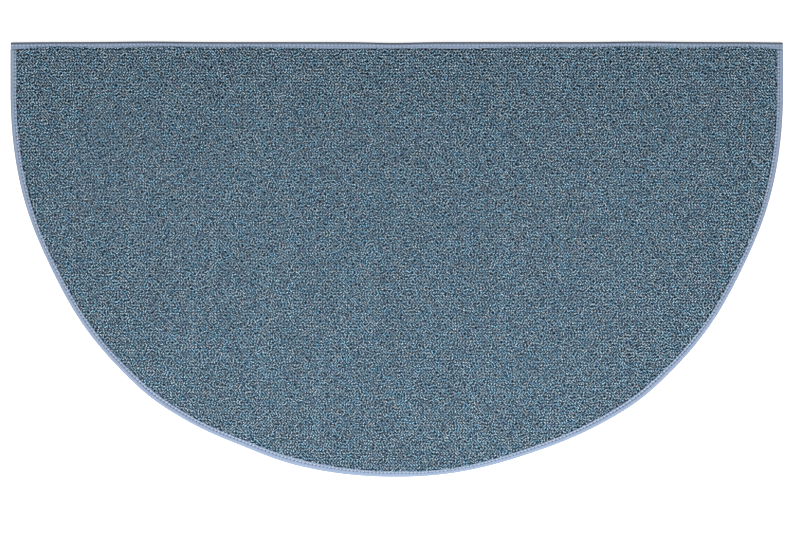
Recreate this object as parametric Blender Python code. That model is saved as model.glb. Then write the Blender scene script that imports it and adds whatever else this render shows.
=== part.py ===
"""A half round hearth rug: a looped pile rug field, its cut edge bound with folded cotton tape.

The rug lies flat, pile up, with its straight edge along +X on the +Y side.
The origin is on the floor, under the middle of the rug's box. Units are metres.
"""
import math
from collections import namedtuple

import bmesh
import bpy

INCH = 0.0254
MM = 0.001

# Outline: a straight edge, two short sides, and a curve that is a little fuller than a half circle.
WIDTH = 48 * INCH
DEPTH = 27 * INCH
CURVE_FULLNESS = 2.1  # 2 gives a true half circle

# A swell bows an edge outwards by its height; a negative one draws it in.
Swell = namedtuple("Swell", "centre spread height")

# Bearings are in degrees along the curve, from the +X side round to the -X side.
CURVE_SWELLS = (
    Swell(centre=27.4, spread=8.2, height=-3.6 * MM),
    Swell(centre=51.7, spread=4.9, height=1.9 * MM),
    Swell(centre=69.9, spread=9.6, height=-4.1 * MM),
    Swell(centre=113.7, spread=5.8, height=-3.6 * MM),
    Swell(centre=128.9, spread=4.4, height=2.0 * MM),
    Swell(centre=152.7, spread=7.9, height=-3.5 * MM),
)

# Distances along the straight edge, from its middle.
STRAIGHT_SWELLS = (
    Swell(centre=-620 * MM, spread=47 * MM, height=-0.7 * MM),
    Swell(centre=-389 * MM, spread=58 * MM, height=0.9 * MM),
    Swell(centre=-5 * MM, spread=43 * MM, height=-1.35 * MM),
    Swell(centre=389 * MM, spread=58 * MM, height=0.9 * MM),
    Swell(centre=620 * MM, spread=47 * MM, height=-0.7 * MM),
)

# The tape's turn over the pile, seen from above, is wider or narrower in places.
TAPE_WIDTH = 8.3 * MM
CURVE_TAPE_SWELLS = (
    Swell(centre=23, spread=7, height=-1.5 * MM),
    Swell(centre=52, spread=8, height=1.1 * MM),
    Swell(centre=82, spread=8, height=-1.3 * MM),
    Swell(centre=106, spread=7, height=1.5 * MM),
    Swell(centre=128, spread=6, height=1.1 * MM),
    Swell(centre=156, spread=6, height=-1.3 * MM),
)

# These lie the same on both sides of the middle; the last flares the tape at the corners.
STRAIGHT_TAPE_SWELLS = (
    Swell(centre=95 * MM, spread=60 * MM, height=2.0 * MM),
    Swell(centre=237 * MM, spread=20 * MM, height=-0.8 * MM),
    Swell(centre=350 * MM, spread=30 * MM, height=-1.0 * MM),
    Swell(centre=448 * MM, spread=35 * MM, height=0.9 * MM),
    Swell(centre=535 * MM, spread=35 * MM, height=-1.4 * MM),
    Swell(centre=612 * MM, spread=30 * MM, height=2.7 * MM),
)

# Section of the bound edge.
TAPE_THICK = 1.0 * MM
GAP = 0.3 * MM
RIM_HEIGHT = 8.0 * MM
BEAD_RADIUS = 4.0 * MM
FOOT_RADIUS = 2.5 * MM
BEAD_STEPS = 4
FOOT_STEPS = 2
TAPE_END_INSET = 1.0 * MM  # the straight tape ends this far inside the sides

# A point of a section lies at a share of the tape's width plus an inset from the outline.
SectionPoint = namedtuple("SectionPoint", "share inset height")

# The tape's top between its bead and its inner edge, with the valley that the stitches pull in.
Crease = namedtuple("Crease", "share drop")
TAPE_TOP = (
    Crease(share=0.67, drop=0.6 * MM),
    Crease(share=0.87, drop=0.1 * MM),
    Crease(share=1.00, drop=0.5 * MM),
)

PRESSED_HEIGHT = RIM_HEIGHT - max(crease.drop for crease in TAPE_TOP) - TAPE_THICK - GAP

# The pile comes up out of a groove beside the tape and rounds over to its full height.
Rise = namedtuple("Rise", "inset height")
PILE_RISE = (
    Rise(inset=0.5 * MM, height=6.2 * MM),
    Rise(inset=1.1 * MM, height=7.7 * MM),
    Rise(inset=2.3 * MM, height=8.5 * MM),
    Rise(inset=4.5 * MM, height=8.9 * MM),
    Rise(inset=8.0 * MM, height=9.0 * MM),
)

# Spacing of the sections that the pieces are lofted through.
CURVE_STEPS = 90
STRAIGHT_STEPS = 30
STRAIGHT_STEPS_END = 584 * MM  # where the straight edge's even stations stop
SIDE_STATION = 40 * MM  # a station on each short side, below the corner

# Colours are linear.
PILE_COLOUR = (0.106, 0.163, 0.216, 1.0)
TAPE_COLOUR = (0.376, 0.456, 0.604, 1.0)
CLOTH_ROUGHNESS = 0.95


def swell_at(place, swells):
    """Height of all a table's swells at one place along an edge."""
    return sum(s.height * math.exp(-(((place - s.centre) / s.spread) ** 2)) for s in swells)


STRAIGHT_Y = DEPTH / 2 - max(s.height for s in STRAIGHT_SWELLS)
CURVE_CENTRE_Y = WIDTH / 2 - DEPTH / 2


def straight_line(x):
    return STRAIGHT_Y + swell_at(x, STRAIGHT_SWELLS)


def straight_tape_width(x):
    return TAPE_WIDTH + swell_at(abs(x), STRAIGHT_TAPE_SWELLS)


def curve_tape_width(bearing):
    return TAPE_WIDTH + swell_at(bearing, CURVE_TAPE_SWELLS)


CORNER_TAPE_WIDTH = straight_tape_width(WIDTH / 2)
CORNER_Y = straight_line(WIDTH / 2)
CURVE_TAPE_START_Y = CORNER_Y - CORNER_TAPE_WIDTH - GAP


def curve_radius(bearing):
    """Distance of the outline from the curve's centre: a superellipse with the swells added."""
    angle = math.radians(bearing)
    fullness = CURVE_FULLNESS
    spread = abs(math.cos(angle)) ** fullness + abs(math.sin(angle)) ** fullness
    return WIDTH / 2 * spread ** (-1 / fullness) + swell_at(bearing, CURVE_SWELLS)


def curve_point(bearing, point):
    """A section's point on the curve, at one bearing."""
    angle = math.radians(bearing)
    inset = point.share * curve_tape_width(bearing) + point.inset
    radius = curve_radius(bearing) - inset
    return (math.cos(angle) * radius, CURVE_CENTRE_Y - math.sin(angle) * radius, point.height)


def side_point(side, y, point, least_inset=0.0):
    """A section's point on a short side: side is 1 at +X and -1 at -X."""
    bearing = 0 if side > 0 else 180
    inset = point.share * curve_tape_width(bearing) + point.inset
    return (side * (WIDTH / 2 - max(inset, least_inset)), y, point.height)


def straight_point(x, point):
    """A section's point on the straight edge."""
    inset = point.share * straight_tape_width(x) + point.inset
    return (x, straight_line(x) - inset, point.height)


def curve_bearings():
    return [180 * k / CURVE_STEPS for k in range(CURVE_STEPS + 1)]


def straight_stations():
    """Even stations along the straight edge, from -X to +X."""
    step = 2 * STRAIGHT_STEPS_END / STRAIGHT_STEPS
    return [-STRAIGHT_STEPS_END + step * k for k in range(STRAIGHT_STEPS + 1)]


def quarter(steps):
    """Angles of a quarter turn, both ends included."""
    return [math.pi / 2 * k / steps for k in range(steps + 1)]


def wrap_section(depth):
    """The surface at a depth inside the tape's outer face, from its bottom edge round to its top one."""
    points = [SectionPoint(share=1, inset=0, height=depth)]
    foot = FOOT_RADIUS - depth
    for angle in quarter(FOOT_STEPS):
        inset = FOOT_RADIUS - foot * math.sin(angle)
        height = FOOT_RADIUS - foot * math.cos(angle)
        points.append(SectionPoint(share=0, inset=inset, height=height))
    bead = BEAD_RADIUS - depth
    for angle in quarter(BEAD_STEPS):
        inset = BEAD_RADIUS - bead * math.cos(angle)
        height = RIM_HEIGHT - BEAD_RADIUS + bead * math.sin(angle)
        points.append(SectionPoint(share=0, inset=inset, height=height))
    for crease in TAPE_TOP:
        height = RIM_HEIGHT - crease.drop - depth
        points.append(SectionPoint(share=crease.share, inset=0, height=height))
    return points


def field_section():
    """The field's side, from its underside out into the tape's fold and up to the top of its pile."""
    depth = TAPE_THICK + GAP
    points = [
        SectionPoint(share=1, inset=GAP, height=0),
        SectionPoint(share=1, inset=GAP, height=depth),
    ]
    points += wrap_section(depth)[1:]
    points += [SectionPoint(share=1, inset=rise.inset, height=rise.height) for rise in PILE_RISE]
    return points


def field_loop(point):
    """One closed loop round the field, at one point of its section.

    In the straight tape's closed ends the field is cut back, and pressed flat below the stitches.
    """
    end_inset = TAPE_END_INSET + TAPE_THICK + GAP
    corner_y = CORNER_Y - point.share * CORNER_TAPE_WIDTH - point.inset
    mouth_y = CORNER_Y - CORNER_TAPE_WIDTH
    end_point = point
    if corner_y >= mouth_y:
        end_point = point._replace(height=min(point.height, PRESSED_HEIGHT))
    under_end = (corner_y, min(mouth_y, corner_y - GAP))
    below_end = (min(mouth_y - 4 * GAP, corner_y - 2 * GAP), corner_y - SIDE_STATION)

    def side(sign):
        points = [side_point(sign, y, end_point, least_inset=end_inset) for y in under_end]
        return points + [side_point(sign, y, point) for y in below_end]

    loop = side(1)
    loop += [curve_point(bearing, point) for bearing in curve_bearings()]
    loop += reversed(side(-1))
    loop += [straight_point(x, point) for x in straight_stations()]
    return loop


def add_loops(mesh, loops):
    return [[mesh.verts.new(place) for place in loop] for loop in loops]


def join_loops(mesh, loops, closed):
    """Quads between each loop and the next; a closed loop's last point joins its first."""
    for lower, upper in zip(loops, loops[1:]):
        count = len(lower)
        for k in range(count if closed else count - 1):
            after = (k + 1) % count
            mesh.faces.new((lower[k], lower[after], upper[after], upper[k]))


def finish_object(mesh, name, material):
    """Turns the faces outwards, splits them into triangles and links a smooth shaded object."""
    bmesh.ops.recalc_face_normals(mesh, faces=mesh.faces)
    bmesh.ops.triangulate(mesh, faces=mesh.faces)
    data = bpy.data.meshes.new(name)
    mesh.to_mesh(data)
    mesh.free()
    data.materials.append(material)
    data.shade_smooth()
    data.set_sharp_from_angle(angle=math.radians(50))
    piece = bpy.data.objects.new(name, data)
    bpy.context.scene.collection.objects.link(piece)
    return piece


def make_field(material):
    """The pile carpet and its backing, as one cut cloth."""
    mesh = bmesh.new()
    loops = add_loops(mesh, [field_loop(point) for point in field_section()])
    join_loops(mesh, loops, closed=True)
    mesh.faces.new(loops[0])
    mesh.faces.new(loops[-1])
    return finish_object(mesh, "rug_field", material)


def tape_section():
    """The tape's whole section: its outer face, then its inner face the other way."""
    return wrap_section(0) + wrap_section(TAPE_THICK)[::-1]


def make_curve_binding(material):
    """The tape down one side, round the curve and up the other side."""
    section = tape_section()
    start_ys = (CURVE_TAPE_START_Y, CORNER_Y - SIDE_STATION)

    def side(sign):
        return [[side_point(sign, y, point) for point in section] for y in start_ys]

    loops = side(1)
    loops += [[curve_point(bearing, point) for point in section] for bearing in curve_bearings()]
    loops += reversed(side(-1))
    mesh = bmesh.new()
    loops = add_loops(mesh, loops)
    join_loops(mesh, loops, closed=True)
    mesh.faces.new(loops[0])
    mesh.faces.new(loops[-1])
    return finish_object(mesh, "binding_curve", material)


def make_straight_binding(material):
    """The tape along the straight edge, with a wall of folded tape closing each end."""
    end = WIDTH / 2 - TAPE_END_INSET
    hollow_end = end - TAPE_THICK
    hollow = [-hollow_end, *straight_stations(), hollow_end]
    outer_section = wrap_section(0)
    inner_section = wrap_section(TAPE_THICK)
    mesh = bmesh.new()
    outer = [[straight_point(x, point) for point in outer_section] for x in (-end, *hollow, end)]
    inner = [[straight_point(x, point) for point in inner_section] for x in hollow]
    outer = add_loops(mesh, outer)
    inner = add_loops(mesh, inner)
    join_loops(mesh, outer, closed=False)
    join_loops(mesh, inner, closed=False)
    for edge in (0, -1):
        rims = [[face[edge], lining[edge]] for face, lining in zip(outer[1:-1], inner)]
        join_loops(mesh, rims, closed=False)
    for cap, wall, lining in ((outer[0], outer[1], inner[0]), (outer[-1], outer[-2], inner[-1])):
        mesh.faces.new(cap)
        mesh.faces.new(lining)
        mesh.faces.new((cap[0], wall[0], lining[0], lining[-1], wall[-1], cap[-1]))
    return finish_object(mesh, "binding_straight", material)


def cloth_material(name, colour):
    material = bpy.data.materials.new(name)
    material.use_nodes = True
    shader = material.node_tree.nodes["Principled BSDF"]
    shader.inputs["Base Color"].default_value = colour
    shader.inputs["Roughness"].default_value = CLOTH_ROUGHNESS
    shader.inputs["Metallic"].default_value = 0.0
    return material


def main():
    for old in list(bpy.context.scene.objects):
        bpy.data.objects.remove(old, do_unlink=True)
    make_field(cloth_material("pile", PILE_COLOUR))
    make_curve_binding(cloth_material("curve tape", TAPE_COLOUR))
    make_straight_binding(cloth_material("straight tape", TAPE_COLOUR))


main()
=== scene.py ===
"""Looks of the half round hearth rug: looped pile, folded cotton tape, its stitches, and the studio.

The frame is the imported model's: metres, +Z up, straight edge along +X on the +Y side.
"""
import math
from collections import namedtuple

import bpy
import numpy as np
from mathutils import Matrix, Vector


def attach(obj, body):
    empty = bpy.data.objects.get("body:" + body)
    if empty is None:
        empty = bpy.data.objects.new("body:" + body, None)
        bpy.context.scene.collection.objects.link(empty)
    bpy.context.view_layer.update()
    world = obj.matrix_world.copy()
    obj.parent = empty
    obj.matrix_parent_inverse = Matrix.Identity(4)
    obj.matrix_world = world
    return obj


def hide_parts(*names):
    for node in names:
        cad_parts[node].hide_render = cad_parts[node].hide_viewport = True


INCH = 0.0254
MM = 0.001
SEED = 48

# Outline, as the solids have it.
WIDTH = 48 * INCH
DEPTH = 27 * INCH
CURVE_FULLNESS = 2.1

# A swell bows an edge outwards by its height; a negative one draws it in.
Swell = namedtuple("Swell", "centre spread height")

# Bearings are in degrees along the curve, from the +X side round to the -X side.
CURVE_SWELLS = (
    Swell(centre=27.4, spread=8.2, height=-3.6 * MM),
    Swell(centre=51.7, spread=4.9, height=1.9 * MM),
    Swell(centre=69.9, spread=9.6, height=-4.1 * MM),
    Swell(centre=113.7, spread=5.8, height=-3.6 * MM),
    Swell(centre=128.9, spread=4.4, height=2.0 * MM),
    Swell(centre=152.7, spread=7.9, height=-3.5 * MM),
)

# Distances along the straight edge, from its middle.
STRAIGHT_SWELLS = (
    Swell(centre=-620 * MM, spread=47 * MM, height=-0.7 * MM),
    Swell(centre=-389 * MM, spread=58 * MM, height=0.9 * MM),
    Swell(centre=-5 * MM, spread=43 * MM, height=-1.35 * MM),
    Swell(centre=389 * MM, spread=58 * MM, height=0.9 * MM),
    Swell(centre=620 * MM, spread=47 * MM, height=-0.7 * MM),
)

# The tape's turn over the pile, seen from above, is wider or narrower in places.
TAPE_WIDTH = 8.3 * MM
CURVE_TAPE_SWELLS = (
    Swell(centre=23, spread=7, height=-1.5 * MM),
    Swell(centre=52, spread=8, height=1.1 * MM),
    Swell(centre=82, spread=8, height=-1.3 * MM),
    Swell(centre=106, spread=7, height=1.5 * MM),
    Swell(centre=128, spread=6, height=1.1 * MM),
    Swell(centre=156, spread=6, height=-1.3 * MM),
)

# These lie the same on both sides of the middle; the last flares the tape at the corners.
STRAIGHT_TAPE_SWELLS = (
    Swell(centre=95 * MM, spread=60 * MM, height=2.0 * MM),
    Swell(centre=237 * MM, spread=20 * MM, height=-0.8 * MM),
    Swell(centre=350 * MM, spread=30 * MM, height=-1.0 * MM),
    Swell(centre=448 * MM, spread=35 * MM, height=0.9 * MM),
    Swell(centre=535 * MM, spread=35 * MM, height=-1.4 * MM),
    Swell(centre=612 * MM, spread=30 * MM, height=2.7 * MM),
)

# How far the cloth stands out from the solids: round the curve, and all along the straight edge.
CLOTH_SWELLS = (Swell(centre=90, spread=14, height=0.9 * MM),)
STRAIGHT_CLOTH = 0.7 * MM

# Section of the bound edge.
TAPE_THICK = 1.0 * MM
GAP = 0.3 * MM  # between the folded tape and the cloth inside it
RIM_HEIGHT = 8.0 * MM
BEAD_RADIUS = 4.0 * MM
FOOT_RADIUS = 2.5 * MM
BEAD_STEPS = 5
FOOT_STEPS = 2
TAPE_END_INSET = 1.0 * MM  # the straight tape ends this far inside the sides
SIDE_STATION = 40 * MM  # a station on each short side, below the corner

# A point of a section lies at shares of the tape's width and of the seam's distance, plus an inset
# from the outline. It lies lower than its height by its drop, where the seam is creased in full. pull is
# how far the stitches draw it down, and puff how far it swells between them.
SectionPoint = namedtuple("SectionPoint", "share inset height seam drop pull puff", defaults=(0.0,) * 4)

# The curve's seam is creased deeper on the diagonals and less at the bottom, by shares of the crease.
CREASE_SWELLS = (
    Swell(centre=47, spread=14, height=0.35),
    Swell(centre=90, spread=25, height=-0.85),
    Swell(centre=133, spread=14, height=0.35),
)

# The tape's top from its bead in to its seam, and on to its inner edge.
Crease = namedtuple("Crease", "seam share drop pull puff")
CURVE_TOP = (
    Crease(seam=0.40, share=0.00, drop=0.15 * MM, pull=0.00 * MM, puff=0.00 * MM),
    Crease(seam=0.75, share=0.00, drop=0.65 * MM, pull=0.15 * MM, puff=0.00 * MM),
    Crease(seam=1.00, share=0.00, drop=1.50 * MM, pull=0.40 * MM, puff=0.10 * MM),
    Crease(seam=0.75, share=0.25, drop=0.65 * MM, pull=0.30 * MM, puff=0.10 * MM),
    Crease(seam=0.40, share=0.60, drop=0.05 * MM, pull=0.15 * MM, puff=0.20 * MM),
    Crease(seam=0.12, share=0.88, drop=0.15 * MM, pull=0.15 * MM, puff=0.20 * MM),
    Crease(seam=0.00, share=1.00, drop=0.70 * MM, pull=0.20 * MM, puff=0.15 * MM),
)
STRAIGHT_TOP = (
    Crease(seam=0.40, share=0.00, drop=0.00 * MM, pull=0.00 * MM, puff=0.00 * MM),
    Crease(seam=0.75, share=0.00, drop=0.00 * MM, pull=0.10 * MM, puff=0.00 * MM),
    Crease(seam=1.00, share=0.00, drop=0.05 * MM, pull=0.25 * MM, puff=0.10 * MM),
    Crease(seam=0.75, share=0.25, drop=0.10 * MM, pull=0.20 * MM, puff=0.10 * MM),
    Crease(seam=0.40, share=0.60, drop=0.20 * MM, pull=0.15 * MM, puff=0.20 * MM),
    Crease(seam=0.12, share=0.88, drop=0.45 * MM, pull=0.15 * MM, puff=0.20 * MM),
    Crease(seam=0.00, share=1.00, drop=0.90 * MM, pull=0.20 * MM, puff=0.15 * MM),
)
LEAST_LIP = 2.95 * MM  # least distance from the seam to the tape's inner edge
SOFT_EDGE = 1.55 * MM  # how far the curve's cloth reaches past its solid's inner edge
EDGE_SCALLOP = 0.30 * MM  # how far the tape's inner edge swings in and out with the stitches
MESH_STEP = 1.5 * MM  # along the tape

# Places that the paths are sampled at: down a short side, round the curve and along the straight edge.
SIDE_SAMPLES = 20
CURVE_SAMPLES = 3601
STRAIGHT_SAMPLES = 2001

# Tones are shares of the tape's colour that paint shade: in its needle holes, along its creased seam,
# from there to its inner edge by the pile, and on its turn, which faces away from the light. The thread
# lies lower than the rim by its depth, and nearer the pile than its needle holes by its offset half way
# between them, and by half of that at its ends.
TapeStyle = namedtuple(
    "TapeStyle", "top seam_inset thread_depth offset hole_tone seam_tone lip_tone turn_tone",
)
CURVE_STYLE = TapeStyle(
    top=CURVE_TOP, seam_inset=7.4 * MM, thread_depth=1.2 * MM, offset=1.0 * MM,
    hole_tone=0.5, seam_tone=0.68, lip_tone=1.0, turn_tone=1.0,
)
# Painted shade: the straight tape's turn and lip are darker, as they face away from the light.
STRAIGHT_STYLE = TapeStyle(
    top=STRAIGHT_TOP, seam_inset=5.0 * MM, thread_depth=0.8 * MM, offset=0.3 * MM,
    hole_tone=0.85, seam_tone=1.0, lip_tone=0.85, turn_tone=0.42,
)

# Stitches.
STITCH_PITCH = 6.0 * MM
STITCH_LENGTH = 4.6 * MM
STITCH_RADIUS = 0.75 * MM
STITCH_RISE = 0.55 * MM  # from a stitch's ends up to its middle
STITCH_SINK = 0.60 * MM  # how much further its ends dip into the tape

# Reach of the tape's painted shade.
HOLE_RADIUS = 0.9 * MM
SEAM_WIDTH = 1.4 * MM
TURN_FADE = 5.0 * MM  # a fade from the turn's painted shade to the tape's own colour, ending TURN_REACH past the bead's top
TURN_REACH = 1.6 * MM

# Pile: loops of yarn in straight rows along Y. Each loop lies across its own cell of the grid.
ROW_GAUGE = 4.40 * MM
LOOP_PITCH = 4.76 * MM
PLACE_JITTER = 0.12 * MM
ROW_WANDER = 1.0 * MM  # how far the rows wave, over lengths of about WANDER_LENGTH
WANDER_LENGTH = 20 * MM
LOOP_HALF_LENGTH = 3.6 * MM
LOOP_HALF_WIDTH = 1.45 * MM
LOOP_SIZE_JITTER = 0.03
LOOP_ROUND = 1.6 * MM  # from a loop's widest level up to its top
HEIGHT_JITTER = 0.1 * MM
TOP_TILT = 0.1 * MM
TOP_LEAN = 0.05 * MM
LEAN = -math.degrees(math.atan2(LOOP_PITCH, ROW_GAUGE))  # the way most loops lie, in degrees
LEAN_JITTER = 6.5
CROSSED_LIMIT = 0.1  # where patches of about CROSSED_LENGTH are above this, loops lie the other way
CROSSED_LENGTH = 16 * MM
CROSSED_JITTER = 0.1
PILE_PIECES = 5

# The outermost loops lean out by up to EDGE_LEAN, and those EDGE_LEAN_REACH further in not at all.
EDGE_LEAN = 0.7 * MM
EDGE_LEAN_REACH = 3 * MM

# The pile's border lies CURVE_GROOVE in from the curve tape's solid, further out at the bottom of the
# curve, and STRAIGHT_COVER out over the straight tape's.
CURVE_GROOVE = 1.4 * MM
CURVE_COVER = (Swell(centre=90, spread=16, height=2.0 * MM),)
STRAIGHT_COVER = 1.3 * MM

# Height of the loops' tops, from the pile's border in.
Rise = namedtuple("Rise", "inset height")
PILE_RISE = (
    Rise(inset=0.4 * MM, height=7.6 * MM),
    Rise(inset=1.1 * MM, height=8.0 * MM),
    Rise(inset=2.3 * MM, height=8.6 * MM),
    Rise(inset=4.5 * MM, height=9.0 * MM),
    Rise(inset=8.0 * MM, height=9.1 * MM),
)

# Top of the ground cloth between the loops, from the tape solids' inner edge in.
GROUND_RISE = (Rise(inset=1.6 * MM, height=5.0 * MM), Rise(inset=3.2 * MM, height=7.0 * MM))
ROOT_DEPTH = 0.8 * MM  # how far the loops' roots lie below it

# Under the tape the ground cloth comes down to its edge's height, and it is pressed lower at the corners.
GROUND_DIP = SectionPoint(share=0.62, inset=0, height=GROUND_RISE[0].height)
CORNER_DROP = 0.6 * MM
PRESSED_HEIGHT = RIM_HEIGHT - CORNER_DROP - TAPE_THICK - GAP
STRAIGHT_STEPS_END = 584 * MM  # where the straight edge's even stations stop
STRAIGHT_STEPS = 60
CURVE_STEPS = 180
GROUND_BEAD_STEPS = 3

# Colours are linear.
# The ground cloth's near-black colour is painted shade for the gaps between the loops.
GROUND_SHADE_COLOUR = (0.012, 0.030, 0.048)
BACKING_COLOUR = (0.46, 0.41, 0.33)
TAPE_COLOUR = (0.375, 0.477, 0.668)
THREAD_COLOUR = (0.66, 0.79, 0.95)
FLOOR_COLOUR = (0.86, 0.86, 0.86, 1)

# Heather yarns, and the share of loops of each.
Yarn = namedtuple("Yarn", "share colour")
YARNS = (
    Yarn(share=0.47, colour=(0.164, 0.286, 0.386)),
    Yarn(share=0.19, colour=(0.206, 0.309, 0.382)),
    Yarn(share=0.17, colour=(0.132, 0.288, 0.412)),
    Yarn(share=0.11, colour=(0.135, 0.226, 0.328)),
    Yarn(share=0.06, colour=(0.207, 0.275, 0.339)),
)

# How far the plies' unevenness swings a yarn's red, green and blue, as shares of its own, and the least
# share that it leaves.
PLY_SWING = (3.6, 3.0, 2.5)
LEAST_PLY = 0.1

# The loops' tones vary one by one, row by row, and in soft patches.
Patch = namedtuple("Patch", "size swing")
TONE_PATCHES = (Patch(size=90 * MM, swing=0.02), Patch(size=25 * MM, swing=0.01))
LOOP_TONE_JITTER = 0.03
ROW_TONE_JITTER = 0.02

# Camera, from the photograph's framing.
IMAGE_WIDTH_PX = 800
IMAGE_HEIGHT_PX = 533
RUG_WIDTH_PX = 772.7
RUG_CENTRE_PX = (396.8, 259.2)
CAMERA_HEIGHT = 3.0
SENSOR_WIDTH = 36.0

# Floor.
FLOOR_SIZE = 40.0
FLOOR_DROP = 0.05 * MM  # keeps the floor clear of the rug's underside


def swell_at(place, swells):
    """Height of all a table's swells at places along an edge."""
    place = np.asarray(place, float)
    return sum(s.height * np.exp(-(((place - s.centre) / s.spread) ** 2)) for s in swells)


STRAIGHT_Y = DEPTH / 2 - max(s.height for s in STRAIGHT_SWELLS)
CURVE_CENTRE_Y = WIDTH / 2 - DEPTH / 2


def straight_line(x):
    return STRAIGHT_Y + swell_at(x, STRAIGHT_SWELLS)


def straight_tape_width(x):
    return TAPE_WIDTH + swell_at(np.abs(x), STRAIGHT_TAPE_SWELLS)


def curve_tape_width(bearing):
    return TAPE_WIDTH + swell_at(bearing, CURVE_TAPE_SWELLS)


CORNER_Y = float(straight_line(WIDTH / 2))
CORNER_TAPE_WIDTH = float(straight_tape_width(WIDTH / 2))
CURVE_TAPE_START_Y = CORNER_Y - CORNER_TAPE_WIDTH - GAP


def curve_radius(bearing):
    """Distance of the outline from the curve's centre: a superellipse with the swells added."""
    angle = np.radians(bearing)
    spread = np.abs(np.cos(angle)) ** CURVE_FULLNESS + np.abs(np.sin(angle)) ** CURVE_FULLNESS
    return WIDTH / 2 * spread ** (-1 / CURVE_FULLNESS) + swell_at(bearing, CURVE_SWELLS)


# Paths: the outline's places, their inward directions, tape widths, shares of the seam's full crease,
# and distances along.
Path = namedtuple("Path", "places inwards widths creases along")


def spaced_path(places, inwards, widths, creases, step):
    """A path resampled at even steps along its length."""
    run = np.concatenate([[0], np.cumsum(np.linalg.norm(np.diff(places, axis=0), axis=1))])
    count = max(2, round(run[-1] / step) + 1)
    along = np.linspace(0, run[-1], count)

    def at(values):
        return np.stack([np.interp(along, run, v) for v in np.atleast_2d(values.T)], axis=-1)

    return Path(at(places), at(inwards), at(widths)[:, 0], at(creases)[:, 0], along)


def curve_path(start_y, step):
    """Down the +X side, round the curve and up the -X side."""
    sides = np.linspace(start_y, CURVE_CENTRE_Y, SIDE_SAMPLES)[:-1]
    bearings = np.linspace(0, 180, CURVE_SAMPLES)
    radius = curve_radius(bearings) + swell_at(bearings, CLOTH_SWELLS)
    angle = np.radians(bearings)
    way = np.stack([np.cos(angle), -np.sin(angle)], axis=1)
    curve = np.array([0, CURVE_CENTRE_Y]) + way * radius[:, None]
    right = np.stack([np.full(len(sides), WIDTH / 2), sides], axis=1)
    left = right[::-1] * (-1, 1)
    places = np.concatenate([right, curve, left])
    side_way = np.tile([-1.0, 0.0], (len(sides), 1))
    inwards = np.concatenate([side_way, -way, -side_way])
    place_bearings = np.concatenate([np.full(len(sides), 0), bearings, np.full(len(sides), 180)])
    widths = curve_tape_width(place_bearings) + SOFT_EDGE
    creases = 1 + swell_at(place_bearings, CREASE_SWELLS)
    return spaced_path(places, inwards, widths, creases, step)


def straight_path(end, step):
    """Along the straight edge, from -X to +X."""
    x = np.linspace(-end, end, STRAIGHT_SAMPLES)
    places = np.stack([x, straight_line(x) + STRAIGHT_CLOTH], axis=1)
    inwards = np.tile([0.0, -1.0], (len(x), 1))
    return spaced_path(places, inwards, straight_tape_width(x) + STRAIGHT_CLOTH, np.ones(len(x)), step)


def from_tape(x, y):
    """How far each place lies inside the pile's border, and the way out to it."""
    below = CURVE_CENTRE_Y - y
    reach = np.hypot(x, below)
    bearing = np.degrees(np.arctan2(np.maximum(below, 0), x))
    on_curve = below > 0
    curve = np.where(on_curve, curve_radius(bearing) - reach, WIDTH / 2 - np.abs(x))
    curve = curve - curve_tape_width(bearing) - CURVE_GROOVE + swell_at(bearing, CURVE_COVER)
    straight = straight_line(x) - y - straight_tape_width(x) + STRAIGHT_COVER
    out_x = np.where(on_curve, x / np.maximum(reach, MM), np.sign(x))
    out_y = np.where(on_curve, -below / np.maximum(reach, MM), 0.0)
    nearer = straight < curve
    out = np.stack([np.where(nearer, 0.0, out_x), np.where(nearer, 1.0, out_y)], axis=-1)
    return np.minimum(curve, straight), out


# Meshes from arrays.
def make_piece(name, points, faces, materials):
    """A linked, smooth shaded mesh. faces is a list of arrays, each of faces with as many corners."""
    mesh = bpy.data.meshes.new(name)
    corners = np.concatenate([np.asarray(f).ravel() for f in faces]).astype(np.int32)
    sizes = np.concatenate([np.full(len(f), np.shape(f)[1]) for f in faces]).astype(np.int32)
    mesh.vertices.add(len(points))
    mesh.vertices.foreach_set("co", np.asarray(points, np.float32).ravel())
    mesh.loops.add(len(corners))
    mesh.loops.foreach_set("vertex_index", corners)
    mesh.polygons.add(len(sizes))
    mesh.polygons.foreach_set("loop_start", np.concatenate([[0], np.cumsum(sizes)[:-1]]).astype(np.int32))
    mesh.update(calc_edges=True)
    mesh.shade_smooth()
    for material in materials:
        mesh.materials.append(material)
    piece = bpy.data.objects.new(name, mesh)
    bpy.context.scene.collection.objects.link(piece)
    return piece


def loop_vertices(piece):
    found = np.empty(len(piece.data.loops), np.int32)
    piece.data.loops.foreach_get("vertex_index", found)
    return found


def add_map(piece, name, places):
    """A UV map from a place for each corner."""
    layer = piece.data.uv_layers.new(name=name, do_init=False)
    layer.uv.foreach_set("vector", np.asarray(places, np.float32).ravel())


def grid_faces(rows, columns, closed):
    """Quads between rows of points. closed joins each row's last point to its first."""
    a = np.arange(rows - 1)[:, None] * columns
    k = np.arange(columns if closed else columns - 1)[None]
    after = (k + 1) % columns
    return np.stack([a + k, a + after, a + columns + after, a + columns + k], axis=-1).reshape(-1, 4)


# Materials.
def new_material(name, roughness, sheen=0.0):
    material = bpy.data.materials.new(name)
    material.use_nodes = True
    shader = material.node_tree.nodes["Principled BSDF"]
    shader.inputs["Roughness"].default_value = roughness
    shader.inputs["Specular IOR Level"].default_value = 0.2
    shader.inputs["Sheen Weight"].default_value = sheen
    shader.inputs["Sheen Roughness"].default_value = 0.5
    return material, material.node_tree, shader


def add_node(tree, kind, **settings):
    """A node of that kind. Settings name its properties, or its inputs with spaces as underscores."""
    node = tree.nodes.new(kind)
    for key, value in settings.items():
        if hasattr(node, key):
            setattr(node, key, value)
        else:
            node.inputs[key.replace("_", " ")].default_value = value
    return node


def noise(tree, coordinates, scale, detail=2.0, kind="3D"):
    node = add_node(tree, "ShaderNodeTexNoise", noise_dimensions=kind, Scale=scale, Detail=detail)
    tree.links.new(coordinates, node.inputs["Vector"])
    return node.outputs["Fac"]


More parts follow.
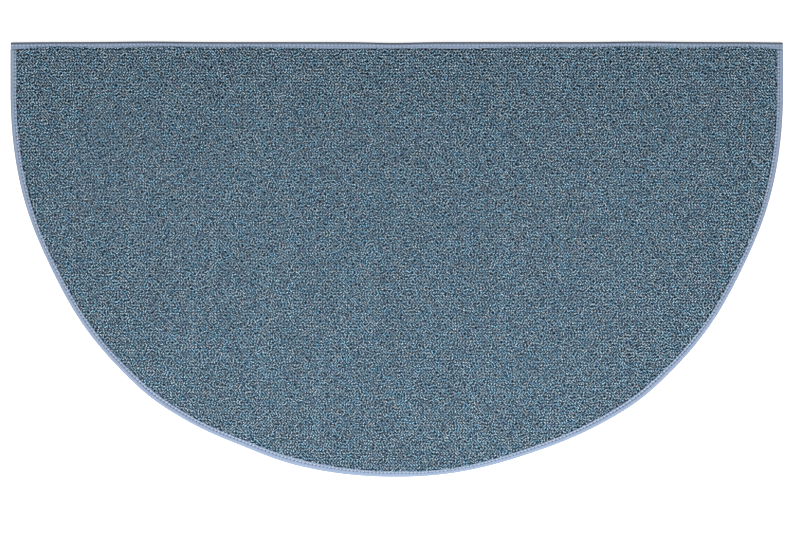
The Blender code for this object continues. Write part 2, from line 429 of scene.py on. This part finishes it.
def scaled(tree, coordinates, scale, turn=0.0):
    node = add_node(tree, "ShaderNodeMapping")
    node.inputs["Scale"].default_value = scale
    node.inputs["Rotation"].default_value = (0, 0, math.radians(turn))
    tree.links.new(coordinates, node.inputs["Vector"])
    return node.outputs["Vector"]


def ranged(tree, value, low, high):
    """A value from 0 to 1 brought to a range."""
    node = add_node(tree, "ShaderNodeMapRange")
    node.inputs["To Min"].default_value = low
    node.inputs["To Max"].default_value = high
    tree.links.new(value, node.inputs["Value"])
    return node.outputs["Result"]


def maths(tree, operation, first, second):
    node = add_node(tree, "ShaderNodeMath", operation=operation)
    for socket, value in zip(node.inputs, (first, second)):
        if isinstance(value, (int, float)):
            socket.default_value = value
        else:
            tree.links.new(value, socket)
    return node.outputs["Value"]


def vector_maths(tree, operation, *values):
    node = add_node(tree, "ShaderNodeVectorMath", operation=operation)
    for socket, value in zip(node.inputs, values):
        if isinstance(value, tuple):
            socket.default_value = value
        else:
            tree.links.new(value, socket)
    return node.outputs["Vector"]


def shaded(tree, colour, factor):
    """A colour times a factor."""
    node = add_node(tree, "ShaderNodeVectorMath", operation="SCALE")
    if isinstance(colour, tuple):
        node.inputs[0].default_value = colour
    else:
        tree.links.new(colour, node.inputs[0])
    tree.links.new(factor, node.inputs["Scale"])
    return node.outputs["Vector"]


def bump(tree, shader, height, distance, strength):
    node = add_node(tree, "ShaderNodeBump", Distance=distance, Strength=strength)
    tree.links.new(height, node.inputs["Height"])
    tree.links.new(node.outputs["Normal"], shader.inputs["Normal"])


def pile_material():
    """Heather yarn: each loop's colour with painted shade at its root and painted highlight at its top,
    broken up by fine fibres.
    """
    material, tree, shader = new_material("pile loops", roughness=0.95, sheen=0.15)
    # The yarn attribute carries the painted shade and highlight as well as the yarn's colour.
    yarn = add_node(tree, "ShaderNodeAttribute", attribute_name="yarn").outputs["Color"]
    place = add_node(tree, "ShaderNodeTexCoord").outputs["Object"]
    plies = noise(tree, place, scale=600, detail=0, kind="2D")
    fibres = noise(tree, place, scale=1400, detail=3)
    swing = np.array(PLY_SWING)
    tone = vector_maths(tree, "MULTIPLY_ADD", plies, tuple(2 * swing), tuple(1 - swing))
    tone = vector_maths(tree, "MAXIMUM", tone, (LEAST_PLY,) * 3)
    plied = vector_maths(tree, "MULTIPLY", yarn, tone)
    tree.links.new(shaded(tree, plied, ranged(tree, fibres, 0.7, 1.3)), shader.inputs["Base Color"])
    bump(tree, shader, fibres, distance=0.4 * MM, strength=0.5)
    return material


def ground_material():
    """The cloth between the loops, coloured near black as painted shade in the gaps."""
    material, tree, shader = new_material("pile ground", roughness=1.0)
    place = add_node(tree, "ShaderNodeTexCoord").outputs["Object"]
    speck = noise(tree, place, scale=500)
    colour = shaded(tree, GROUND_SHADE_COLOUR, ranged(tree, speck, 0.4, 1.6))
    tree.links.new(colour, shader.inputs["Base Color"])
    bump(tree, shader, speck, distance=0.5 * MM, strength=0.6)
    return material


def backing_material():
    """Plain woven backing on the underside."""
    material, tree, shader = new_material("woven backing", roughness=0.9)
    place = add_node(tree, "ShaderNodeTexCoord").outputs["Object"]
    threads = []
    for turn in (0, 90):
        wave = add_node(tree, "ShaderNodeTexWave", wave_type="BANDS", bands_direction="X", Scale=70.0)
        wave.inputs["Distortion"].default_value = 0.8
        tree.links.new(scaled(tree, place, (1, 1, 1), turn), wave.inputs["Vector"])
        threads.append(wave.outputs["Fac"])
    weave = maths(tree, "MAXIMUM", *threads)
    tone = ranged(tree, weave, 0.55, 1.1)
    tree.links.new(shaded(tree, BACKING_COLOUR, tone), shader.inputs["Base Color"])
    bump(tree, shader, weave, distance=0.4 * MM, strength=0.6)
    return material


def stepped(tree, value, start, end, low, high=1.0):
    """low up to start, high from end on, and smooth between."""
    node = add_node(tree, "ShaderNodeMapRange", interpolation_type="SMOOTHSTEP")
    for name, number in (("From Min", start), ("From Max", end), ("To Min", low), ("To Max", high)):
        node.inputs[name].default_value = number
    tree.links.new(value, node.inputs["Value"])
    return node.outputs["Result"]


def seam_tone(tree, along, across, seam_run, style):
    """Painted shade on the tape: in its needle holes, along its seam and on its lip. Places along and
    across it are in mm.
    """
    from_hole = maths(tree, "PINGPONG", along, STITCH_PITCH / MM / 2)
    inward = maths(tree, "SUBTRACT", across, seam_run)
    from_seam = maths(tree, "ABSOLUTE", inward, 0.0)
    squares = [maths(tree, "MULTIPLY", side, side) for side in (from_hole, from_seam)]
    reach = maths(tree, "SQRT", maths(tree, "ADD", *squares), 0.0)
    # Painted shade: dark needle holes, a darker line along the creased seam, and a darker lip towards the
    # pile.
    hole = stepped(tree, reach, HOLE_RADIUS / MM, 2 * HOLE_RADIUS / MM, style.hole_tone)
    crease = stepped(tree, from_seam, 0.0, SEAM_WIDTH / MM, style.seam_tone)
    lip = stepped(tree, inward, 0.0, SEAM_WIDTH / MM, 1.0, style.lip_tone)
    return maths(tree, "MULTIPLY", maths(tree, "MULTIPLY", hole, crease), lip)


def tape_material(name, style):
    """Woven cotton tape: fine ribs across, threads of uneven colour, and painted shade in its needle
    holes, along its seam, on its lip and on its turn.
    """
    material, tree, shader = new_material(name, roughness=0.85, sheen=0.25)
    run = add_node(tree, "ShaderNodeUVMap", uv_map="tape").outputs["UV"]
    ribs = add_node(tree, "ShaderNodeTexWave", wave_type="BANDS", bands_direction="X", Scale=0.36)
    ribs.inputs["Distortion"].default_value = 0.6
    tree.links.new(run, ribs.inputs["Vector"])
    threads = add_node(tree, "ShaderNodeTexWave", wave_type="BANDS", bands_direction="Y", Scale=0.5)
    tree.links.new(run, threads.inputs["Vector"])
    weave = maths(tree, "MULTIPLY", ribs.outputs["Fac"], threads.outputs["Fac"])
    uneven = noise(tree, scaled(tree, run, (0.25, 2.0, 1)), scale=1.0, detail=3)
    soft = noise(tree, scaled(tree, run, (0.03, 0.1, 1)), scale=1.0)
    tone = maths(tree, "MULTIPLY", ranged(tree, weave, 0.90, 1.06), ranged(tree, uneven, 0.84, 1.16))
    tone = maths(tree, "MULTIPLY", tone, ranged(tree, soft, 0.92, 1.08))
    place = add_node(tree, "ShaderNodeSeparateXYZ")
    tree.links.new(run, place.inputs["Vector"])
    along, across = place.outputs["X"], place.outputs["Y"]
    distances = section_run(outer_section(style), style)
    seam_run = float(distances[SEAM_POINT]) / MM
    # Painted shade in the needle holes, along the seam and on the lip.
    tone = maths(tree, "MULTIPLY", tone, seam_tone(tree, along, across, seam_run, style))
    # Painted shade on the turn, which faces away from the light; it fades out past the bead's top.
    turn_end = (float(distances[BEAD_TOP_POINT]) + TURN_REACH) / MM
    turn = stepped(tree, across, turn_end - TURN_FADE / MM, turn_end, style.turn_tone)
    tone = maths(tree, "MULTIPLY", tone, turn)
    tree.links.new(shaded(tree, TAPE_COLOUR, tone), shader.inputs["Base Color"])
    bump(tree, shader, weave, distance=0.25 * MM, strength=0.6)
    return material


def thread_material():
    """Sewing thread, a shade lighter than the tape."""
    material, tree, shader = new_material("sewing thread", roughness=0.6, sheen=0.2)
    place = add_node(tree, "ShaderNodeTexCoord").outputs["Object"]
    twist = noise(tree, place, scale=900)
    colour = shaded(tree, THREAD_COLOUR, ranged(tree, twist, 0.8, 1.05))
    tree.links.new(colour, shader.inputs["Base Color"])
    bump(tree, shader, twist, distance=0.2 * MM, strength=0.4)
    return material


# Tape.
SEAM_CREASE = 2  # the seam's place in the creases of a tape's top


def quarter(steps):
    """Angles of a quarter turn, both ends included."""
    return [math.pi / 2 * k / steps for k in range(steps + 1)]


def outer_section(style):
    """The tape's outer face, from its bottom edge round to its top one."""
    points = [SectionPoint(share=1, inset=0, height=0)]
    for angle in quarter(FOOT_STEPS):
        inset = FOOT_RADIUS * (1 - math.sin(angle))
        points.append(SectionPoint(share=0, inset=inset, height=FOOT_RADIUS * (1 - math.cos(angle))))
    for angle in quarter(BEAD_STEPS):
        inset = BEAD_RADIUS * (1 - math.cos(angle))
        height = RIM_HEIGHT - BEAD_RADIUS + BEAD_RADIUS * math.sin(angle)
        points.append(SectionPoint(share=0, inset=inset, height=height))
    for crease in style.top:
        bead = (1 - crease.seam - crease.share) * BEAD_RADIUS
        place = (crease.share, bead, RIM_HEIGHT, crease.seam)
        points.append(SectionPoint(*place, crease.drop, crease.pull, crease.puff))
    return points


def inner_section(style):
    """The tape's inner face, from its top edge back to its bottom one; it doesn't show."""
    edge = style.top[-1]
    seam = style.top[SEAM_CREASE]
    under = RIM_HEIGHT - TAPE_THICK
    return [
        SectionPoint(share=1, inset=0, height=under, drop=edge.drop, pull=edge.pull, puff=edge.puff),
        SectionPoint(share=0, inset=0, height=under - seam.drop - seam.pull, seam=1),
        SectionPoint(share=0, inset=BEAD_RADIUS, height=under),
        SectionPoint(share=0, inset=TAPE_THICK, height=RIM_HEIGHT - BEAD_RADIUS),
        SectionPoint(share=0, inset=FOOT_RADIUS, height=TAPE_THICK),
        SectionPoint(share=1, inset=0, height=TAPE_THICK),
    ]


SEAM_POINT = [point.seam for point in outer_section(CURVE_STYLE)].index(1.0)
BEAD_TOP_POINT = SEAM_POINT - SEAM_CREASE - 1


def seam_inset(widths, style):
    """The seam's distance from the outline, for each of the tape's widths."""
    return np.minimum(style.seam_inset, widths - LEAST_LIP)


def stitch_phase(path):
    """0 at each needle hole and 1 half way between two, at each place of a path."""
    return 0.5 - 0.5 * np.cos(2 * math.pi * path.along / STITCH_PITCH)


def lay_section(path, section, style):
    """Points of a section at each place of a path: an array of places by section points by 3."""
    phase = stitch_phase(path)[:, None]
    share = np.array([p.share for p in section])
    inset = share * path.widths[:, None] + np.array([p.inset for p in section])
    inset = inset + np.array([p.seam for p in section]) * seam_inset(path.widths, style)[:, None]
    swing = np.array([p.share == 1 and p.height > RIM_HEIGHT / 2 for p in section])
    inset = inset + swing * EDGE_SCALLOP * (2 * phase - 1)
    height = np.array([p.height for p in section])
    height = height - path.creases[:, None] * np.array([p.drop for p in section])
    height = height - (1 - phase) ** 2 * np.array([p.pull for p in section])
    height = height + phase**2 * np.array([p.puff for p in section])
    flat = path.places[:, None] + path.inwards[:, None] * inset[..., None]
    return np.concatenate([flat, height[..., None]], axis=-1)


def section_run(section, style):
    """Distance round a section at each of its points, at the tape's usual width."""
    seam = seam_inset(TAPE_WIDTH, style)
    flat = np.array([(p.share * TAPE_WIDTH + p.seam * seam + p.inset, p.height - p.drop) for p in section])
    return np.concatenate([[0], np.cumsum(np.linalg.norm(np.diff(flat, axis=0), axis=1))])


FOLDS = 10  # rows that a tape's bake map is cut into
FOLD_MARGIN = 0.02  # left free on both sides of each, as a share of it
END_GAP = 0.001 * MM  # keeps a closed end's two faces apart


def map_tape(piece, path, run, columns):
    """The tape's own map, in millimetres along and across it, and a folded one that fills a square.

    In a face that closes the section, column 0 lies a thickness past the last column.
    """
    vertex = loop_vertices(piece)
    row, column = vertex // columns, vertex % columns
    quads = np.arange(4 * columns * (len(path.along) - 1)).reshape(-1, 4)
    first_row = row.copy()
    first_row[quads] = row[quads].min(axis=1, keepdims=True)
    across = run[column]
    closing = quads[np.ptp(column[quads], axis=1) > 1]
    across[closing] = np.where(column[closing] == 0, run[-1] + TAPE_THICK, across[closing])
    along = path.along[row]
    add_map(piece, "tape", np.stack([along, across], axis=1) / MM)
    fold = path.along[-1] / FOLDS
    band = np.minimum(path.along[first_row] // fold, FOLDS - 1)
    u = (along - band * fold) / (fold + 2 * MESH_STEP)
    used = 1 - 2 * FOLD_MARGIN
    v = (band + FOLD_MARGIN + used * across / (run[-1] + TAPE_THICK)) / FOLDS
    add_map(piece, "OFBake", np.stack([u, v], axis=1))


def close_ends(points, outer_count):
    """Brings the inner face of a tape's first and last rows to the mouth, so its ends are closed."""
    share = np.linspace(1, 0, points.shape[1] - outer_count)[:, None]
    for row in (0, -1):
        mouth = points[row, outer_count - 1] * share + points[row, 0] * (1 - share)
        points[row, outer_count:] = mouth + (0, END_GAP, 0)


def make_tape(name, path, style, material, closed_ends=False):
    """A folded tape along a path."""
    outer, inner = outer_section(style), inner_section(style)
    points = lay_section(path, outer + inner, style)
    if closed_ends:
        close_ends(points, len(outer))
    rows, columns = points.shape[:2]
    ends = np.stack([np.arange(columns), (rows - 1) * columns + np.arange(columns)[::-1]])
    faces = [grid_faces(rows, columns, closed=True)[:, ::-1], ends]
    piece = make_piece(name, points.reshape(-1, 3), faces, [material])
    map_tape(piece, path, section_run(outer + inner, style), columns)
    return piece


# Stitches.
THREAD_SIDES = 6
THREAD_STEPS = 5
THREAD_TAPER = 0.45


def stitch_tubes(path, style):
    """Points and faces of one tube for each stitch, sunk into the tape at both ends."""
    count = int((path.along[-1] - STITCH_PITCH / 2) // STITCH_PITCH)
    middles = STITCH_PITCH * (0.5 + np.arange(count))
    t = np.linspace(-1, 1, THREAD_STEPS + 1)
    along = middles[:, None] + t * STITCH_LENGTH / 2
    at = np.stack([np.interp(along, path.along, path.places[:, k]) for k in (0, 1)], axis=-1)
    inward = np.stack([np.interp(along, path.along, path.inwards[:, k]) for k in (0, 1)], axis=-1)
    inward /= np.linalg.norm(inward, axis=-1, keepdims=True)
    width = np.interp(along, path.along, path.widths)
    middle = at + inward * (seam_inset(width, style) + style.offset * (1 - t**2 / 2))[..., None]
    depth = style.thread_depth * np.interp(along, path.along, path.creases)
    height = RIM_HEIGHT - depth + STITCH_RISE * (1 - t**2) - STITCH_SINK * np.abs(t) ** 3
    turn = 2 * math.pi * np.arange(THREAD_SIDES) / THREAD_SIDES
    radius = STITCH_RADIUS * (1 - THREAD_TAPER + THREAD_TAPER * np.sqrt(1 - (0.9 * t) ** 2))
    flat = middle[:, :, None] + inward[:, :, None] * (radius[:, None] * np.cos(turn))[None, ..., None]
    up = height[..., None] + radius[:, None] * np.sin(turn)
    points = np.concatenate([flat, up[..., None]], axis=-1)
    rings = THREAD_STEPS + 1
    tube = grid_faces(rings, THREAD_SIDES, closed=True)
    caps = np.stack([np.arange(THREAD_SIDES)[::-1], (rings - 1) * THREAD_SIDES + np.arange(THREAD_SIDES)])
    step = rings * THREAD_SIDES * np.arange(count)[:, None, None]
    return points.reshape(-1, 3), (tube + step).reshape(-1, 4), (caps + step).reshape(-1, THREAD_SIDES)


def make_stitches(name, path, style, material):
    points, tubes, caps = stitch_tubes(path, style)
    return make_piece(name, points, [tubes, caps], [material])


# Field: the ground cloth, and the loops on it.
def ground_section():
    """From the underside out into the tape's fold, and back over the top under the pile's loops."""
    depth = TAPE_THICK + GAP
    foot, bead = FOOT_RADIUS - depth, BEAD_RADIUS - depth
    points = [SectionPoint(1, GAP, 0), SectionPoint(1, GAP, depth)]
    points += [
        SectionPoint(0, FOOT_RADIUS - foot * math.sin(a), FOOT_RADIUS - foot * math.cos(a))
        for a in quarter(FOOT_STEPS)
    ]
    points += [
        SectionPoint(0, BEAD_RADIUS - bead * math.cos(a), RIM_HEIGHT - BEAD_RADIUS + bead * math.sin(a))
        for a in quarter(GROUND_BEAD_STEPS)
    ]
    return points + [GROUND_DIP] + [SectionPoint(1, rise.inset, rise.height) for rise in GROUND_RISE]


def ground_loop(point):
    """One closed loop of the ground cloth, cut back in the straight tape's closed ends."""
    end_inset = TAPE_END_INSET + TAPE_THICK + GAP
    corner_y = CORNER_Y - point.share * CORNER_TAPE_WIDTH - point.inset
    side_width = float(curve_tape_width(0))
    inset = point.share * side_width + point.inset
    mouth_y = CORNER_Y - CORNER_TAPE_WIDTH
    under = [(WIDTH / 2 - max(inset, end_inset), y) for y in (corner_y, min(mouth_y, corner_y - GAP))]
    below_y = min(mouth_y - 4 * GAP, corner_y - 2 * GAP)
    below = [(WIDTH / 2 - inset, y) for y in (below_y, corner_y - SIDE_STATION)]
    right = np.array(under + below)
    bearings = np.linspace(0, 180, CURVE_STEPS + 1)
    reach = curve_radius(bearings) - point.share * curve_tape_width(bearings) - point.inset
    angle = np.radians(bearings)
    curve = np.stack([np.cos(angle) * reach, CURVE_CENTRE_Y - np.sin(angle) * reach], axis=1)
    x = np.linspace(-STRAIGHT_STEPS_END, STRAIGHT_STEPS_END, STRAIGHT_STEPS + 1)
    straight = np.stack([x, straight_line(x) - point.share * straight_tape_width(x) - point.inset], axis=1)
    loop = np.concatenate([right, curve, right[::-1] * (-1, 1), straight])
    height = np.full(len(loop), float(point.height))
    if corner_y >= mouth_y:
        left_end = 2 * len(right) + len(curve)
        pressed = [*range(len(under)), *range(left_end - len(under), left_end)]
        height[pressed] = np.minimum(height[pressed], PRESSED_HEIGHT)
    return np.column_stack([loop, height])


def make_ground(ground, backing):
    loops = [ground_loop(point) for point in ground_section()]
    columns = len(loops[0])
    faces = [grid_faces(len(loops), columns, closed=True), np.arange(columns)[::-1][None]]
    faces.append(((len(loops) - 1) * columns + np.arange(columns))[None])
    piece = make_piece("rug_ground", np.concatenate(loops), faces, [ground, backing])
    heights = np.array([p.center.z for p in piece.data.polygons])
    piece.data.polygons.foreach_set("material_index", (heights < GAP).astype(np.int32))
    return piece


def flat_area(loop):
    """Area inside a closed loop of places."""
    x, y = loop[:, 0], loop[:, 1]
    return abs(float(np.sum(x * np.roll(y, -1) - y * np.roll(x, -1)))) / 2


# A loop of yarn in rings: its root, its widest level and its top. Each ring goes round anticlockwise.
LOOP_ROOT_RING = ((0.6, 0.4), (-0.6, 0.4), (-0.6, -0.4), (0.6, -0.4))
LOOP_WIDE_RING = ((1.0, 0.0), (0.6, 1.0), (-0.6, 1.0), (-1.0, 0.0), (-0.6, -1.0), (0.6, -1.0))
LOOP_TOP_RING = ((0.62, 0.35), (-0.62, 0.35), (-0.62, -0.35), (0.62, -0.35))
LOOP_POINTS = LOOP_ROOT_RING + LOOP_WIDE_RING + LOOP_TOP_RING
LOOP_FACES = (
    (0, 3, 2), (0, 2, 1),
    (0, 5, 4), (0, 1, 5), (1, 6, 5), (1, 7, 6), (1, 2, 7),
    (2, 8, 7), (2, 3, 8), (3, 9, 8), (3, 4, 9), (3, 0, 4),
    (4, 5, 10), (5, 6, 10), (6, 11, 10), (6, 7, 11), (7, 12, 11),
    (7, 8, 12), (8, 9, 12), (9, 13, 12), (9, 4, 13), (4, 10, 13),
    (10, 11, 12), (10, 12, 13),
)
LOOP_SHADE_TONES = (0.55,) * 4 + (0.90,) * 6 + (1.12,) * 4  # painted shade at a loop's root, painted highlight at its top
SHADE_TINT = (1.7, 1.0, 0.9)  # the painted shade takes away more red than blue at the roots, and the painted highlight adds more red than blue at the tops


def loop_centres(rng):
    """Places of the loops: straight rows with the unevenness of tufting."""
    columns = math.ceil(WIDTH / 2 / ROW_GAUGE)
    rows = math.ceil(DEPTH / 2 / LOOP_PITCH) + 1
    i, j = np.meshgrid(np.arange(-columns, columns + 1), np.arange(-rows, rows + 1), indexing="ij")
    places = np.stack([i.ravel() * ROW_GAUGE, j.ravel() * LOOP_PITCH], axis=1)
    places = places + wander(places, rng) + rng.normal(0, PLACE_JITTER, places.shape)
    x, y = places.T
    inset, out = from_tape(x, y)
    kept = inset > PILE_RISE[0].inset
    order = np.argsort(y[kept], kind="stable")
    return x[kept][order], y[kept][order], inset[kept][order], out[kept][order]


def patches(x, y, rng, size, waves=6):
    """Soft uneven patches of about one size, from a few crossing waves, mostly between -1 and 1."""
    value = np.zeros(len(x))
    for _ in range(waves):
        angle = rng.uniform(0, math.pi)
        wave = 2 * math.pi / (size * rng.uniform(0.7, 1.4))
        value += np.sin(wave * (x * math.cos(angle) + y * math.sin(angle)) + rng.uniform(0, 6.28))
    return value / waves**0.5


def wander(places, rng, waves=12):
    """The rows' waviness: crosswise waves, which leave the loops as dense as they were."""
    moved = np.zeros_like(places)
    for _ in range(waves):
        angle = rng.uniform(0, math.pi)
        way = np.array([math.cos(angle), math.sin(angle)])
        wave = 2 * math.pi / (WANDER_LENGTH * rng.uniform(0.7, 1.4))
        swing = np.sin(wave * (places @ way) + rng.uniform(0, 2 * math.pi))
        moved += swing[:, None] * (-way[1], way[0])
    return moved * ROW_WANDER / waves**0.5


def loop_colours(x, y, rng):
    """A linear colour for each loop."""
    shares = np.array([yarn.share for yarn in YARNS])
    palette = np.array([yarn.colour for yarn in YARNS])
    kind = rng.choice(len(YARNS), size=len(x), p=shares / shares.sum())
    colour = palette[kind] * rng.lognormal(0, LOOP_TONE_JITTER, len(x))[:, None]
    tone = 1 + sum(patch.swing * patches(x, y, rng, patch.size) for patch in TONE_PATCHES)
    row = np.round(x / ROW_GAUGE).astype(int)
    row_tone = 1 + ROW_TONE_JITTER * rng.normal(size=row.max() - row.min() + 1)
    return colour * (tone * row_tone[row - row.min()])[:, None]


def loop_points(x, y, inset, out, rng):
    """Points of every loop: an array of loops by points by 3."""
    count = len(x)
    crossing = patches(x, y, rng, CROSSED_LENGTH, waves=12) + rng.normal(0, CROSSED_JITTER, count)
    crossed = crossing > CROSSED_LIMIT
    lie = np.radians(np.where(crossed, -LEAN, LEAN) + rng.normal(0, LEAN_JITTER, count))
    way = np.stack([np.cos(lie), np.sin(lie)], axis=1)
    side = np.stack([-way[:, 1], way[:, 0]], axis=1)
    size = 1 + rng.normal(0, LOOP_SIZE_JITTER, (count, 2))
    top = np.interp(inset, [r.inset for r in PILE_RISE], [r.height for r in PILE_RISE])
    top = top + rng.normal(0, HEIGHT_JITTER, count)
    tilt = rng.normal(0, TOP_TILT, (count, 2))
    ground_insets = [rise.inset - GROUND_RISE[0].inset for rise in GROUND_RISE]
    ground_heights = [rise.height for rise in GROUND_RISE]
    root = np.interp(inset, ground_insets, ground_heights)[:, None] - ROOT_DEPTH
    template = np.array(LOOP_POINTS)
    wide, crown = len(LOOP_ROOT_RING), len(LOOP_ROOT_RING) + len(LOOP_WIDE_RING)
    u = template[:, 0] * LOOP_HALF_LENGTH * size[:, :1]
    v = template[:, 1] * LOOP_HALF_WIDTH * size[:, 1:]
    level = np.empty((count, len(template)))
    level[:, :wide] = root
    level[:, wide:crown] = (top - LOOP_ROUND)[:, None]
    level[:, crown:] = top[:, None]
    level[:, wide:] += template[wide:, 0] * tilt[:, :1] + template[wide:, 1] * tilt[:, 1:]
    lean = np.clip(1 - inset / EDGE_LEAN_REACH, 0, 1)[:, None] * out * EDGE_LEAN
    lean = lean + rng.normal(0, TOP_LEAN, (count, 2))
    rise = np.clip((level - root) / (top[:, None] - root), 0, 1)
    flat = np.stack([x, y], axis=1)[:, None] + u[..., None] * way[:, None] + v[..., None] * side[:, None]
    flat = flat + rise[..., None] * lean[:, None]
    return np.concatenate([flat, level[..., None]], axis=-1)


def make_pile(material):
    """The loops, in bands across the rug so that no piece is too heavy."""
    rng = np.random.default_rng(SEED)
    x, y, inset, out = loop_centres(rng)
    points = loop_points(x, y, inset, out, rng)
    # Painted shade and highlight on each loop: darker at its root, lighter at its top.
    shade_tones = np.array(LOOP_SHADE_TONES)[:, None] ** SHADE_TINT
    colours = loop_colours(x, y, rng)[:, None] * shade_tones[None]
    each = len(LOOP_POINTS)
    pieces = []
    for k, chosen in enumerate(np.array_split(np.arange(len(x)), PILE_PIECES)):
        faces = np.array(LOOP_FACES) + each * np.arange(len(chosen))[:, None, None]
        faces = faces.reshape(-1, 3)
        piece = make_piece(f"pile_{k + 1}", points[chosen].reshape(-1, 3), [faces], [material])
        # Each loop's yarn colour, with its painted shade at the root and painted highlight at the top.
        yarn = piece.data.color_attributes.new("yarn", "FLOAT_COLOR", "POINT")
        colour = np.ones((len(chosen) * each, 4), np.float32)
        colour[:, :3] = colours[chosen].reshape(-1, 3)
        yarn.data.foreach_set("color", colour.ravel())
        map_pile(piece, x[chosen], each)
        pieces.append(piece)
    return pieces


def map_pile(piece, x, each):
    """A bake map: the band from above, cut into lengths that fill a square."""
    vertex = loop_vertices(piece)
    places = np.empty(len(piece.data.vertices) * 3, np.float32)
    piece.data.vertices.foreach_get("co", places)
    places = places.reshape(-1, 3)
    low, high = places.min(axis=0), places.max(axis=0)
    wide, deep = high[0] - low[0], high[1] - low[1]
    lengths = max(1, round(math.sqrt(wide / deep)))
    margin = 2 * LOOP_HALF_LENGTH
    length = wide / lengths
    band = np.clip((x - low[0]) // length, 0, lengths - 1)[vertex // each]
    u = (places[vertex, 0] - low[0] - band * length + margin) / (length + 2 * margin)
    v = (band + (places[vertex, 1] - low[1]) / deep) / lengths
    add_map(piece, "OFBake", np.stack([u, v], axis=1))


# Stage.
def make_camera():
    scene = bpy.context.scene
    data = bpy.data.cameras.new("camera")
    camera = bpy.data.objects.new("camera", data)
    scene.collection.objects.link(camera)
    scene.camera = camera
    size_of_pixel = WIDTH / RUG_WIDTH_PX
    right = (IMAGE_WIDTH_PX / 2 - RUG_CENTRE_PX[0]) * size_of_pixel
    down = (IMAGE_HEIGHT_PX / 2 - RUG_CENTRE_PX[1]) * size_of_pixel
    camera.location = (right, -down, CAMERA_HEIGHT)
    camera.rotation_euler = (0, 0, 0)
    data.sensor_width = SENSOR_WIDTH
    edge_level = RIM_HEIGHT / 2
    data.lens = SENSOR_WIDTH * (CAMERA_HEIGHT - edge_level) / (IMAGE_WIDTH_PX * size_of_pixel)
    data.clip_start, data.clip_end = 0.05, 50


def aim(item, target):
    way = np.subtract(target, item.location)
    item.rotation_euler = Vector(way).to_track_quat("-Z", "Y").to_euler()


def make_light(name, place, target, size, power):
    data = bpy.data.lights.new(name, "AREA")
    data.shape = "RECTANGLE"
    data.size, data.size_y = size
    data.energy = power
    lamp = bpy.data.objects.new(name, data)
    lamp.location = place
    bpy.context.scene.collection.objects.link(lamp)
    aim(lamp, target)
    lamp.visible_camera = False


def make_stage():
    corners = [(-1, -1, 0), (1, -1, 0), (1, 1, 0), (-1, 1, 0)]
    points = np.array(corners) * FLOOR_SIZE / 2 - (0, 0, FLOOR_DROP)
    material, _, shader = new_material("pale floor", roughness=0.9)
    shader.inputs["Base Color"].default_value = FLOOR_COLOUR
    shader.inputs["Emission Color"].default_value = (1, 1, 1, 1)
    shader.inputs["Emission Strength"].default_value = 0.85
    floor = make_piece("floor", points, [np.arange(4)[None]], [material])
    floor.visible_diffuse = False
    world = bpy.data.worlds.new("studio")
    bpy.context.scene.world = world
    world.use_nodes = True
    background = world.node_tree.nodes["Background"]
    background.inputs["Color"].default_value = (1, 1, 1, 1)
    background.inputs["Strength"].default_value = 0.12
    make_light("key", place=(0, -1.3, 1.9), target=(0, 0, 0), size=(4.4, 0.8), power=85)


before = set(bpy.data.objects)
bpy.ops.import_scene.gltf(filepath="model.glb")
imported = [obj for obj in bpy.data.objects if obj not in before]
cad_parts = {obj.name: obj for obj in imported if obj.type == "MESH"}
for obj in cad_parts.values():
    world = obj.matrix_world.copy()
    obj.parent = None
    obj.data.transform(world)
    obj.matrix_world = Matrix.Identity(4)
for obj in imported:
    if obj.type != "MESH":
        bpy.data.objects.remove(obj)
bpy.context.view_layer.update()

make_camera()
curve_cotton = tape_material("cotton tape", CURVE_STYLE)
# The straight tape's material, with painted shade on its turn and lip.
straight_cotton = tape_material("cotton tape, painted shade on turn", STRAIGHT_STYLE)
thread = thread_material()
ground = make_ground(ground_material(), backing_material())
curve_way = curve_path(CURVE_TAPE_START_Y, MESH_STEP)
straight_way = straight_path(WIDTH / 2 - TAPE_END_INSET, MESH_STEP)
curve_tape = make_tape("tape_curve", curve_way, CURVE_STYLE, curve_cotton)
straight_tape = make_tape("tape_straight", straight_way, STRAIGHT_STYLE, straight_cotton, closed_ends=True)
curve_stitches = make_stitches("stitches_curve", curve_way, CURVE_STYLE, thread)
straight_stitches = make_stitches("stitches_straight", straight_way, STRAIGHT_STYLE, thread)
pile = make_pile(pile_material())

for piece in (ground, *pile, curve_tape, straight_tape, curve_stitches, straight_stitches):
    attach(piece, "root")
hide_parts("rug_field")
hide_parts("binding_curve")
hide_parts("binding_straight")

field_flat = flat_area(ground_loop(SectionPoint(share=0, inset=TAPE_THICK + GAP, height=0)))

make_stage()
bpy.context.scene.view_settings.view_transform = "Standard"
